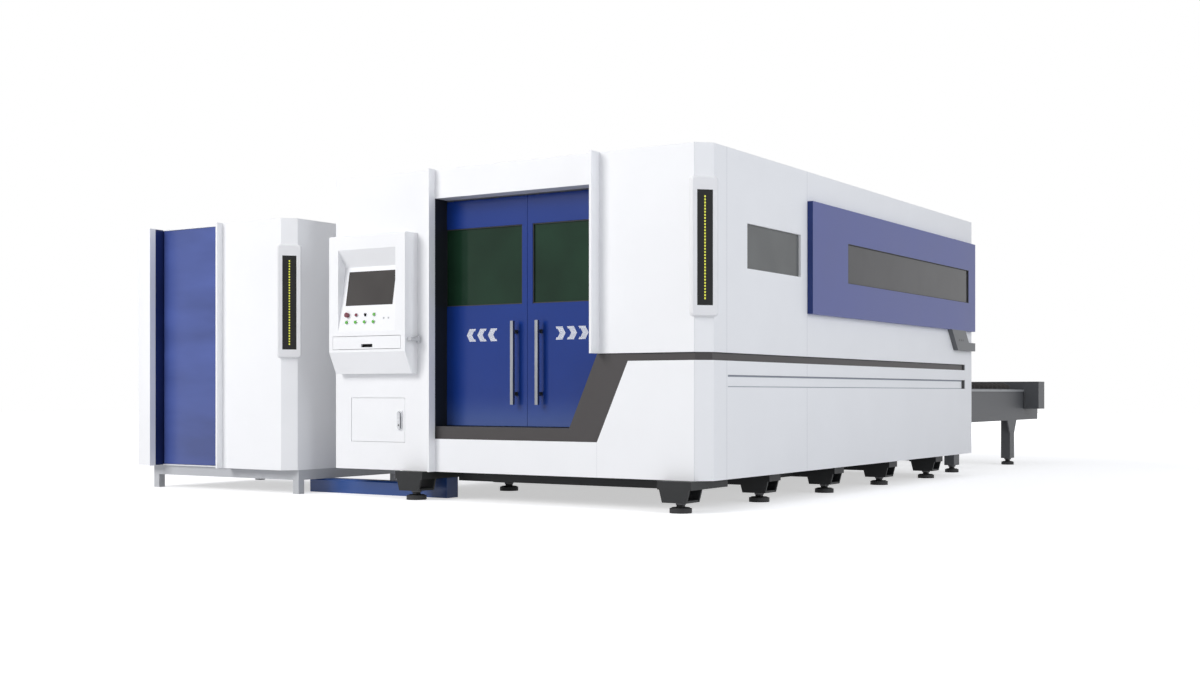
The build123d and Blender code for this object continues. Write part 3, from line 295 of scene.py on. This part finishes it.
def many_boxes(lows, highs):
    """Corner points and faces of many boxes at once: each corner takes low or high on each axis."""
    lows, highs = np.atleast_2d(lows).astype(float), np.atleast_2d(highs).astype(float)
    pick = np.array([(0, 0, 0), (1, 0, 0), (1, 1, 0), (0, 1, 0),
                     (0, 0, 1), (1, 0, 1), (1, 1, 1), (0, 1, 1)])
    verts = (lows[:, None] * (1 - pick) + highs[:, None] * pick).reshape(-1, 3)
    quads = np.array([(3, 2, 1, 0), (4, 5, 6, 7), (0, 1, 5, 4),
                      (1, 2, 6, 5), (2, 3, 7, 6), (3, 0, 4, 7)])
    faces = (quads[None] + len(pick) * np.arange(len(lows))[:, None, None]).reshape(-1, 4)
    return verts, faces


seam_grey = paint("seam_sealant", (0.50, 0.51, 0.54), rough=0.7)
lows, highs = [], []
for y, low, high in ((cover_end, house_low, waist_low), (cover_end, waist_high, house_high),
                     (rear_seam, house_low, groove_low), (rear_seam, groove_high, waist_low),
                     (rear_seam, waist_high, house_high)):
    lows.append((-skin, y - seam_half, low))
    highs.append((skin, y + seam_half, high))
for x, low, high in ((doorway_right, house_low, sill_low), (-chamfer, house_low, waist_low),
                     (-chamfer, waist_high, house_high)):
    lows.append((x - seam_half / 2, -skin, low))
    highs.append((x + seam_half / 2, skin, high))
shape("panel_seams", *many_boxes(lows, highs), seam_grey, "machine")

# Grooves of the side: grey strips along the top and bottom folds of the long groove are painted
# shade, a thin black strip over the waist band is painted shadow under the upper panels, and
# black blocks in the rear ends of groove and band are painted shade.
groove_floor, band_floor = -0.0120, -0.0100
groove_start, groove_shade_split, groove_end = 0.264, 4.600, 4.656
shadow_strip_low, band_end_shade_start = 0.9470, 4.612


def round_corner(depth, front_end, side_end, low, high, thickness):
    """A ribbon that follows the front, the chamfer and the side, set back from them by `depth`.

    The chamfer takes the same length off each face. A line set back by d meets the next one
    0.414 d further on, the tangent of half of 45 degrees, so the ribbon keeps its width round
    both corners.
    """
    rings = []
    for d in (depth, depth + thickness):
        reach = chamfer + d * math.tan(math.radians(22.5))
        rings.append([(front_end, d), (-reach, d), (-d, reach), (-d, side_end)])
    outer, inner = rings
    loop = np.array(outer + inner[::-1])
    count = len(loop)
    verts = np.concatenate([np.column_stack([loop, np.full(count, z)]) for z in (low, high)])
    faces = [[i, (i + 1) % count, (i + 1) % count + count, i + count] for i in range(count)]
    for i in range(len(outer) - 1):
        a, b, c, d = i, i + 1, count - 2 - i, count - 1 - i
        faces += [[a, d, c, b], [a + count, b + count, c + count, d + count]]
    return verts, faces


# A flat black used only for painted shade and painted shadow.
painted_shade_black = paint("painted_shade_black", (0.020, 0.020, 0.022), rough=0.8, peel=0.2, peel_size=700.0)
# Painted shadow: a thin black strip under the upper panels, along the top of the waist band.
shape("waist_painted_shadow", *round_corner(depth=0.0094, front_end=doorway_right + 0.015, side_end=4.650,
                                  low=shadow_strip_low, high=waist_high - 0.0004, thickness=0.0008),
      painted_shade_black, "machine")
# Painted shade: grey strips under the groove's top fold and in its bottom corner.
groove_shade_grey = paint("groove_painted_shade", (0.30, 0.32, 0.36), rough=0.75)
shape("groove_painted_shade", *many_boxes([(groove_floor - skin, groove_start, 0.8080),
                                     (groove_floor - skin, groove_start, groove_low - skin)],
                                    [(-0.0110, groove_shade_split, groove_high + skin),
                                     (-0.0112, groove_shade_split, 0.7510)]),
      groove_shade_grey, "machine")
# Painted shade: black blocks in the rear ends of the groove and the band.
shape("groove_ends_painted_shade", *many_boxes([(groove_floor - skin, groove_shade_split, groove_low - skin),
                                   (band_floor - skin, band_end_shade_start, waist_low - skin)],
                                  [(-0.0050, groove_end + skin, groove_high + skin),
                                   (-0.0045, groove_end + skin, shadow_strip_low)]),
      painted_shade_black, "machine", bevel=0.001)

# Bed, gantry and feet: welded steel plate under dark grey machine paint, with ground rails on top
# and black rubber-faced pads below. The paint is dull and a little uneven, as brushed primer is.
# Low cross beams tie the feet of the middle rows, bolted between their brackets.
foot_pitch = 1.045
foot_lines = (-2.196, -0.176)
iron_paint = paint("iron_paint", (0.010, 0.011, 0.012), rough=0.5, peel=0.12, peel_size=260.0,
                   patch=0.15, shine=0.35)
finish(iron_paint, "machine_bed", "enclosure_frame")
tie_inset, tie_half = 0.088, 0.080
tie_low, tie_high = 0.1110, house_low - 0.0005
tied_rows = [foot_pitch * row for row in (1, 2, 3)]
shape("row_beams",
      *many_boxes([(foot_lines[0] + tie_inset, y - tie_half, tie_low) for y in tied_rows],
                  [(foot_lines[1] - tie_inset, y + tie_half, tie_high) for y in tied_rows]),
      iron_paint, "machine", bevel=0.003)
table_paint = paint("table_paint", (0.085, 0.088, 0.094), rough=0.5, peel=0.1, peel_size=260.0,
                    patch=0.06, shine=0.4)
finish(table_paint, "exchange_table", "table_end_guard", "pallet_upper", "pallet_lower",
       "laser_source")
edge_grey = paint("edge_grey", (0.30, 0.31, 0.32), rough=0.4)
table_left, table_right, edge_sheet = -2.0450, -0.2350, 0.0008
edge_near, edge_far, edge_low, edge_high = 4.850, 7.205, 0.7240, 0.7446
shape("table_edges",
      *many_boxes([(x, edge_near, edge_low) for x in (table_right, table_left - edge_sheet)],
                  [(x, edge_far, edge_high) for x in (table_right + edge_sheet, table_left)]),
      edge_grey, "machine")
pad_black = paint("pad_black", (0.012, 0.012, 0.013), rough=0.6, peel=0.2, peel_size=300.0,
                  patch=0.2)
finish(pad_black, "levelling_feet")
beam_grey = paint("beam_grey", (0.42, 0.44, 0.47), rough=0.4)
finish(beam_grey, "gantry_beam")


def metal(name, colour, rough, scratch, along):
    """Brushed steel: noise stretched along one axis gives streaks in colour, roughness and bump."""
    material = bpy.data.materials.new(name)
    tree, add, join = tree_of(material)
    place = add("ShaderNodeTexCoord")
    streak = noise_at(add, join, stretched(add, join, place, along), 60.0, 5.0)
    tint = two_tones(add, join, streak, 0.35, 0.65, [c * 0.86 for c in colour],
                     [c * 1.08 for c in colour])
    shader = add("ShaderNodeBsdfPrincipled")
    shader.inputs["Metallic"].default_value = 1.0
    join(tint, shader.inputs["Base Color"])
    join(spread(add, join, streak, rough * 0.8, rough * 1.25), shader.inputs["Roughness"])
    join(bumps(add, join, streak, scratch, 0.0003), shader.inputs["Normal"])
    join(shader.outputs["BSDF"], add("ShaderNodeOutputMaterial").inputs["Surface"])
    return material


ground_steel = metal("ground_steel", (0.62, 0.63, 0.65), 0.28, 0.10, (1.0, 0.05, 1.0))
finish(ground_steel, "guide_rails")
cut_steel = metal("cut_steel", (0.115, 0.108, 0.104), 0.55, 0.35, (0.3, 1.0, 1.0))
finish(cut_steel, "pallet_upper_slats", "pallet_lower_slats")
head_metal = metal("head_metal", (0.45, 0.46, 0.48), 0.35, 0.08, (1.0, 1.0, 0.1))
finish(head_metal, "x_carriage", "cutting_head")
gate_grey = paint("gate_grey", (0.24, 0.25, 0.27), rough=0.4)
finish(gate_grey, "rear_gate")

# Dark trim: satin dark grey sheet set a finger's breadth back from the white, warm on the front
# and bluish on the side where it is a separate strip. The jamb behind it is blacker. The hanger
# channel is a dark blue-grey, partly its own paint and partly painted shade under the header,
# and a thin grey sheet under the white header over the doors is painted shade.
trim_grey = paint("trim_grey", (0.062, 0.057, 0.057), rough=0.45, patch=0.05, shine=0.25)
finish(trim_grey, "dark_trim")
jamb_black = paint("jamb_black", (0.012, 0.014, 0.018), rough=0.4, patch=0.06, shine=0.2)
finish(jamb_black, "door_frame")
# The channel's dark blue-grey is partly its own paint and partly painted shade under the header.
track_grey_and_shade = paint("track_grey_and_shade", (0.115, 0.120, 0.145), rough=0.5, patch=0.06, shine=0.3)
finish(track_grey_and_shade, "door_track")
# Painted shade: a grey sheet laid under the white underside of the header.
soffit_painted_shade = paint("soffit_painted_shade", (0.55, 0.56, 0.60), rough=0.55, patch=0.06)
header_low, soffit_left, soffit_back = 1.997, -2.0386, 0.1250
shape("header_painted_shade",
      *many_boxes((soffit_left, 0.002, header_low - 0.0010),
                  (doorway_right - 0.0004, soffit_back, header_low - skin)),
      soffit_painted_shade, "machine")
bracket_grey = paint("bracket_grey", (0.115, 0.120, 0.128), rough=0.42)
finish(bracket_grey, "cowl_bracket")

# Doors: steel leaves in a deep blue satin coat with a thin clear gloss, and dark green filter glass
# that stops the beam's stray light. The glass sits in a black rubber profile pressed on its edge.
leaves =(("left", "left_leaf"), ("right", "right_leaf"))
leaf_front = 0.130
# The leaves turn paler towards the bottom: a painted reflection of the white floor.
door_blue = paint("door_blue", (0.008, 0.036, 0.220), rough=0.18, peel=0.02, patch=0.05, shine=0.28,
                  floor_reflection=(0.36, 0.72, (0.070, 0.125, 0.350)))
finish(door_blue, "door_left", "door_right")


def glass(name, colour, rough, mottle):
    """Dense tinted glass: cloudy noise moves the colour by `mottle` of itself each way.

    Where the noise is high, the surface is up to 1.6 times as rough as where it is low.
    """
    material = bpy.data.materials.new(name)
    tree, add, join = tree_of(material)
    place = add("ShaderNodeTexCoord")
    cloud = noise_at(add, join, place.outputs["Object"], 2.2, 2.0)
    tint = two_tones(add, join, cloud, 0.35, 0.68, [c * (1 - mottle) for c in colour],
                     [c * (1 + mottle) for c in colour])
    shader = add("ShaderNodeBsdfPrincipled")
    join(tint, shader.inputs["Base Color"])
    join(spread(add, join, cloud, rough, rough * 1.6), shader.inputs["Roughness"])
    shader.inputs["Specular IOR Level"].default_value = 0.2
    join(shader.outputs["BSDF"], add("ShaderNodeOutputMaterial").inputs["Surface"])
    return material


filter_glass = glass("filter_glass", (0.010, 0.034, 0.018), 0.06, 0.22)
finish(filter_glass, "door_left_window", "door_right_window")
gasket_rubber = paint("gasket_rubber", (0.014, 0.016, 0.018), rough=0.65, peel=0.1)


def window_gasket(name, low, high, across, depth, wide, body):
    """A rectangular frame of four strips on the inner edge of a window, square to axis `across`.

    Each strip keeps the window's length on one axis and takes `wide` at one end of the other. The
    strips along the first axis are shortened by `wide` at both ends, so that none overlap.
    """
    flat = [axis for axis in range(3) if axis != across]
    lows, highs = [], []
    for axis, other in (flat, flat[::-1]):
        for far in (False, True):
            a, b = np.array(low, float), np.array(high, float)
            if far:
                a[axis] = b[axis] - wide
            else:
                b[axis] = a[axis] + wide
            if axis == flat[1]:
                a[other] += wide
                b[other] -= wide
            a[across], b[across] = depth
            lows.append(a)
            highs.append(b)
    return shape(name, *many_boxes(lows, highs), gasket_rubber, body)


for side, body in leaves:
    low, high = (np.array(corner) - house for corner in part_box(f"door_{side}_window"))
    window_gasket(f"door_{side}_gasket", low, high, 1, (leaf_front + 0.0045, low[1]), 0.006, body)

# Windows of the side: panes of smoked plastic set back in the wall. The long one has a second pane
# near the face of the cowl that frames it, held in a black rubber lining.
smoked_pane = glass("smoked_pane", (0.130, 0.135, 0.134), 0.10, 0.10)
finish(smoked_pane, "side_windows")
long_window = ((0.0, 2.010, 1.478), (0.0, 4.630, 1.757))
pane_back, pane_face, pane_gap = 0.0270, 0.0300, 0.0030
cowl_face, cap_inset = 0.0400, 0.0004
smoke_glass = glass("smoke_glass", (0.060, 0.059, 0.062), 0.10, 0.08)
shape("cowl_pane", *many_boxes(np.add(long_window[0], (pane_back, pane_gap, pane_gap)),
                               np.add(long_window[1], (pane_face, -pane_gap, -pane_gap))),
      smoke_glass, "machine")
window_gasket("cowl_window_lining", *long_window, 0, (0.0081, cowl_face - cap_inset), 0.004,
              "machine")

# Arrows on the leaves: each is a chevron of small pale hexagons of film, stuck to the paint below
# the windows, three to a leaf, that point the way the leaf slides.
film_white = paint("film_white", (0.80, 0.82, 0.86), rough=0.5, peel=0.02)
arrow_height = 1.0915
film_thickness = 0.0003


def chevrons(name, starts, way, body):
    """Hexagon prisms on a triangular grid, kept where a point lies between two slanting lines.

    Rows stand half the root of three of a pitch apart, and every other row is shifted half a
    pitch. The chevron's back edge leans by `wide - band` over half of its height.
    """
    pitch, radius, wide, tall, band = 0.0088, 0.0042, 0.081, 0.083, 0.052
    row, column = np.meshgrid(np.arange(-7, 8), np.arange(0, 13), indexing="ij")
    z = row * pitch * math.sqrt(3) / 2
    u = (column + (row % 2) * 0.5) * pitch
    near = np.abs(z) / (tall / 2) * (wide - band)
    within = np.abs(z) < tall / 2 - radius / 2
    kept = within & (u > near + radius / 2) & (u < near + band - radius / 2)
    u, z = u[kept], z[kept]
    x = np.concatenate([start + (u if way < 0 else wide - u) for start in starts])
    z = np.tile(z, len(starts)) + arrow_height
    turn = np.arange(6) * math.pi / 3 + math.pi / 6
    ring = np.stack([radius * np.cos(turn), np.zeros(6), radius * np.sin(turn)], axis=1)
    centre = np.stack([x, np.zeros_like(x), z], axis=1)
    back = centre[:, None] + ring + (0, leaf_front, 0)
    face = centre[:, None] + ring + (0, leaf_front - film_thickness, 0)
    verts = np.concatenate([back, face], axis=1).reshape(-1, 3)
    step = np.arange(6)
    sides = np.stack([step, (step + 1) % 6, (step + 1) % 6 + 6, step + 6], axis=1)
    bases = 12 * np.arange(len(x))
    faces = [list(base + side) for base in bases for side in sides]
    faces += [list(base + step + 6) for base in bases] + [list(base + step[::-1]) for base in bases]
    return shape(name, verts, faces, film_white, body)


chevrons("arrows_left", (-1.878, -1.791, -1.704), -1, "left_leaf")
chevrons("arrows_right", (-1.162, -1.075, -0.988), 1, "right_leaf")

# Handles: square bars of satin steel, brushed along their length. Each is screwed through the leaf
# at two black plastic blocks that hold it a thumb's breadth off the paint.
handle_steel = metal("handle_steel", (0.23, 0.24, 0.26), 0.38, 0.06, (1.0, 1.0, 0.06))
finish(handle_steel, "door_left_handle", "door_right_handle")
bar_depth, block_heights = 0.0225, (0.705, 1.106)
block_half_width, block_half_height = 0.0105, 0.012
for side, body in leaves:
    low, high = (np.array(corner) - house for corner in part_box(f"door_{side}_handle"))
    middle = (low[0] + high[0]) / 2
    lows, highs = [], []
    for z in block_heights:
        lows.append((middle - block_half_width, low[1] + bar_depth, z - block_half_height))
        highs.append((middle + block_half_width, leaf_front - 0.0001, z + block_half_height))
    shape(f"handle_blocks_{side}", *many_boxes(lows, highs), gasket_rubber, body, bevel=0.002)

# Cowl of the side: a raised frame of deep blue sheet round the long window, screwed to the wall.
# Its sides carry a paler grey-blue, a painted sheen over the deep blue. Its front end is closed
# by a cap of thin sheet in the deep blue, without the sheen.
# Paler grey-blue: a painted sheen over the cowl's deep blue.
cowl_blue_painted_sheen =paint("cowl_blue_painted_sheen", (0.085, 0.105, 0.300), rough=0.40, peel=0.03, patch=0.04, shine=0.35)
finish(cowl_blue_painted_sheen, "side_cowl")
cap_blue = paint("cap_blue", (0.012, 0.030, 0.150), rough=0.35, patch=0.05, shine=0.3)
cowl_front, cap_low, cap_high, cap_sheet = 1.4120, 1.2400, 1.9910, 0.0008
shape("cowl_end_cap",
      *many_boxes((0.0003, cowl_front - cap_sheet, cap_low),
                  (cowl_face - cap_inset, cowl_front + 0.0001, cap_high)), cap_blue, "machine")

# Cabinet and duct: the cabinet's door is blue sheet that waves a little across its height, between
# navy jambs glued in the doorway. The base and the hook of the console are grey lacquered tube and
# rod, and the cable duct on the floor is blue.
cabinet_blue = paint("cabinet_blue", (0.060, 0.092, 0.300), rough=0.24, peel=0.02, patch=0.22,
                     shine=0.4, stretch=(0.5, 0.5, 1.9))
finish(cabinet_blue, "cabinet_door")
jamb_navy = paint("jamb_navy", (0.010, 0.020, 0.095), rough=0.25, patch=0.2, shine=0.3)
left_jamb, right_jamb, jamb_sheet = -4.5860 - skin, -3.8880 + skin, 0.0014
jamb_front, jamb_back, jamb_low, jamb_high = -0.1548, -0.0560, 0.172, 1.932
shape("cabinet_jambs",
      *many_boxes([(x, jamb_front, jamb_low) for x in (left_jamb, right_jamb - jamb_sheet)],
                  [(x, jamb_back, jamb_high) for x in (left_jamb + jamb_sheet, right_jamb)]),
      jamb_navy, "machine")
base_grey = paint("base_grey", (0.50, 0.51, 0.53), rough=0.45)
finish(base_grey, "cabinet_base", "console_hook")
duct_blue = paint("duct_blue", (0.018, 0.070, 0.270), rough=0.35, coat=0.2)
finish(duct_blue, "cable_duct")

# Screen, controls and lights: a dull dark screen behind its glass, glossy moulded buttons in dark
# red, black and green, and black lenses over the status lights.
screen_glass = glass("screen_glass", (0.062, 0.057, 0.055), 0.12, 0.08)
finish(screen_glass, "monitor")


def plastic(name, colour, rough=0.25):
    """Moulded plastic: a faint swirl in the colour and a fine satin bump under a glossy skin."""
    return paint(name, colour, rough=rough, peel=0.04, peel_size=900.0, patch=0.08, coat=0.3)


finish(plastic("stop_red", (0.13, 0.006, 0.025)), "emergency_stop")
finish(plastic("button_red", (0.16, 0.008, 0.03)), "reset_button")
finish(plastic("selector_black", (0.012, 0.012, 0.014)), "mode_selector")
finish(plastic("button_green", (0.09, 0.40, 0.04)), "start_button", "power_button",
       "laser_button", "gas_button", "light_button")
lens_black = glass("lens_black", (0.018, 0.018, 0.018), 0.15, 0.1)
finish(lens_black, "light_lenses")

# Collars of the controls: bright turned rings let into the sloping panel round every control but
# the stop button, whose wide head leaves no room. Two small grey sockets lie to their right.
slope_run, slope_rise = 75.0, 442.0
slope_up = np.array((0.0, slope_run, slope_rise)) / math.hypot(slope_run, slope_rise)
slope_out = np.array((0.0, -slope_rise, slope_run)) / math.hypot(slope_run, slope_rise)
slope_start = np.array((0.0, -0.052, 1.568))
first_control, control_pitch = -2.709, 0.0795
upper_row, lower_row, socket_row = -0.335, -0.385, -0.361


def turned(profile, centre, normal, around=48):
    """Turned ring or disc: a closed profile of (radius, height) swept round an axis, as a torus.

    A point of the profile at angle t lies at centre + radius (cos t side + sin t other) + height
    axis, where side and other are square to the axis and to each other.
    """
    profile = np.asarray(profile, float)
    axis = np.asarray(normal, float)
    axis = axis / np.linalg.norm(axis)
    side = np.cross(axis, (0.0, 0.0, 1.0) if abs(axis[2]) < 0.9 else (0.0, 1.0, 0.0))
    side = side / np.linalg.norm(side)
    other = np.cross(axis, side)
    turn = np.linspace(0, 2 * math.pi, around, endpoint=False)
    spoke = np.cos(turn)[:, None] * side + np.sin(turn)[:, None] * other
    verts = (np.asarray(centre, float) + profile[None, :, 0, None] * spoke[:, None]
             + profile[None, :, 1, None] * axis).reshape(-1, 3)
    count = len(profile)
    i, j = np.meshgrid(np.arange(around), np.arange(count), indexing="ij")
    ni, nj = (i + 1) % around, (j + 1) % count
    faces = np.stack([i * count + j, ni * count + j, ni * count + nj, i * count + nj], axis=-1)
    return verts, faces.reshape(-1, 4)


def gathered(parts):
    """Several meshes as one: points end to end, face numbers raised by the points before them."""
    verts, faces, base = [], [], 0
    for points, polygons in parts:
        verts.append(np.asarray(points, float))
        faces += [list(np.asarray(polygon) + base) for polygon in polygons]
        base += len(points)
    return np.concatenate(verts), faces


hair, even = 0.0001, (1.0, 1.0, 1.0)
bright_ring =metal("bright_ring", (0.70, 0.71, 0.73), 0.2, 0.02, even)
collars = []
for row, columns in ((upper_row, (1, 2, 3)), (lower_row, (0, 1, 2, 3))):
    for column in columns:
        place = slope_start + (first_control + control_pitch * column, 0, 0) + row * slope_up
        collars.append(turned([(0.0112, 0.0), (0.0140, 0.0), (0.0138, 0.0028), (0.0128, 0.0036),
                               (0.0114, 0.0034)], place, slope_out))
shape("control_collars", *gathered(collars), bright_ring, "machine", smooth=True)
sockets = []
for x in (-2.386, -2.345):
    place = slope_start + (x, 0, 0) + socket_row * slope_up
    sockets.append(turned([(hair, 0.0), (0.0070, 0.0), (0.0068, 0.0012), (0.0042, 0.0016),
                           (0.0036, 0.0004), (hair, 0.0004)], place, slope_out, 32))
shape("panel_sockets", *gathered(sockets), base_grey, "machine", smooth=True)

# Status columns: a row of small square lamps down the dark lens of each chamfered corner, lit
# yellow-green. Each lamp is a moulded cap 9 by 11 mm that glows unevenly, as the chip behind it.
lamp_lit = bpy.data.materials.new("lamp_lit")
tree, add, join = tree_of(lamp_lit)
flicker = noise_at(add, join, add("ShaderNodeTexCoord").outputs["Object"], 55.0, 2.0)
glowing = two_tones(add, join, flicker, 0.0, 1.0, (0.50, 0.55, 0.03), (0.78, 0.74, 0.08))
shader = add("ShaderNodeBsdfPrincipled")
join(glowing, shader.inputs["Base Color"])
join(glowing, shader.inputs["Emission Color"])
shader.inputs["Emission Strength"].default_value = 0.35
shader.inputs["Roughness"].default_value = 0.3
join(shader.outputs["BSDF"], add("ShaderNodeOutputMaterial").inputs["Surface"])
corner_along = np.array((1.0, 1.0, 0.0)) / math.sqrt(2)
corner_out = np.array((1.0, -1.0, 0.0)) / math.sqrt(2)
half_width, half_height, lamp_back, lamp_face = 0.0045, 0.0055, 0.0200, 0.0212
for name, middle, low, high, count in (("house_lamps", (-0.0425, 0.0425, 0.0), 1.268, 1.868, 34),
                                       ("cabinet_lamps", (-3.250, -0.115, 0.0), 1.052, 1.633, 32)):
    heights = np.linspace(low, high, count)
    verts, faces = many_boxes(np.stack([np.full(count, -half_width), np.full(count, lamp_back),
                                        heights - half_height], axis=1),
                              np.stack([np.full(count, half_width), np.full(count, lamp_face),
                                        heights + half_height], axis=1))
    along, out, up = verts.T[:, :, None]
    verts = np.array(middle) + along * corner_along + out * corner_out + up * (0, 0, 1)
    shape(name, verts, [face[::-1] for face in faces], lamp_lit, "machine")

# Hatch latch: a swing lever of zinc casting that lies in a raised rim, with a keyhole at its foot.
# The rim is cast too and is riveted to the hatch. The cowl's bracket has three blackened screws.
latch_zinc = metal("latch_zinc", (0.50, 0.51, 0.53), 0.35, 0.05, even)
finish(latch_zinc, "hatch_handle")
latch_x = -2.338


def slot_ring(x, low, high, outer, inner, back, front):
    """A ring with round ends: two half circles joined by straight sides, at two radii and depths.

    The half circles turn about points one outer radius inside the top and the bottom, so that the
    ring reaches just from `low` to `high`, and both rims are the same distance apart all round.
    """
    half = 13
    count = 2 * half
    turn = np.concatenate([np.linspace(0, math.pi, half), np.linspace(math.pi, 2 * math.pi, half)])
    middle = np.concatenate([np.full(half, high - outer), np.full(half, low + outer)])
    rings = [np.stack([x + radius * np.cos(turn), np.full(count, y),
                       middle + radius * np.sin(turn)], axis=1)
             for radius, y in ((outer, back), (outer, front), (inner, front), (inner, back))]
    faces = []
    for ring in range(4):
        here, there = ring * count, (ring + 1) % 4 * count
        for a in range(count):
            b = (a + 1) % count
            faces.append([here + a, here + b, there + b, there + a])
    return np.concatenate(rings), faces


shape("latch_rim", *slot_ring(latch_x, low=0.462, high=0.591, outer=0.0218, inner=0.0150,
                              back=-0.0059, front=-0.0095), latch_zinc, "hatch", bevel=0.0008)
shape("keyhole", *turned([(hair, 0.0), (0.0058, 0.0), (0.0056, 0.0008), (hair, 0.0008)],
                         (latch_x, -0.0180, 0.494), (0, -1, 0), 32), gasket_rubber, "hatch_lever")
screw_height = 1.155
screws = [turned([(hair, -0.004), (0.0095, -0.004), (0.0095, hair), (0.0090, skin), (hair, skin)],
                 (cowl_face, y, screw_height), (1, 0, 0), 24) for y in (4.390, 4.438, 4.486)]
screw_black = paint("screw_black", (0.012, 0.012, 0.013), rough=0.5, peel=0.1)
shape("bracket_screws", *gathered(screws), screw_black, "machine", smooth=True)

# Feet: a hexagon lock nut of dull steel on each screw, drawn up below its bracket, and a rounded
# black rim pressed over the top edge of each pad.
nut_steel = metal("nut_steel", (0.10, 0.10, 0.105), 0.45, 0.06, even)
nut_height, nut_edge, pad_top, table_start = 0.0130, 0.0015, 0.0281, 4.83
nuts, rims = [], []
feet = [(x, foot_pitch * row, 0.061, 0.067) for x in foot_lines for row in range(5)]
feet += [(x, table_start + y, 0.064, 0.060) for x in (-1.995, -0.285) for y in (0.320, 1.990)]
for x, y, top, radius in feet:
    nuts.append(turned([(0.0195, 0.0), (0.0330, 0.0), (0.0345, nut_edge),
                        (0.0345, nut_height - nut_edge), (0.0330, nut_height),
                        (0.0195, nut_height)],
                       (x, y, top - nut_height - skin), (0, 0, 1), 6))
    rims.append(turned([(0.020, 0.0), (radius - 0.006, 0.0), (radius - 0.014, 0.0055),
                        (0.024, 0.0080), (0.020, 0.0080)], (x, y, pad_top), (0, 0, 1), 40))
shape("foot_nuts", *gathered(nuts), nut_steel, "machine")
shape("foot_rims", *gathered(rims), pad_black, "machine", smooth=True)
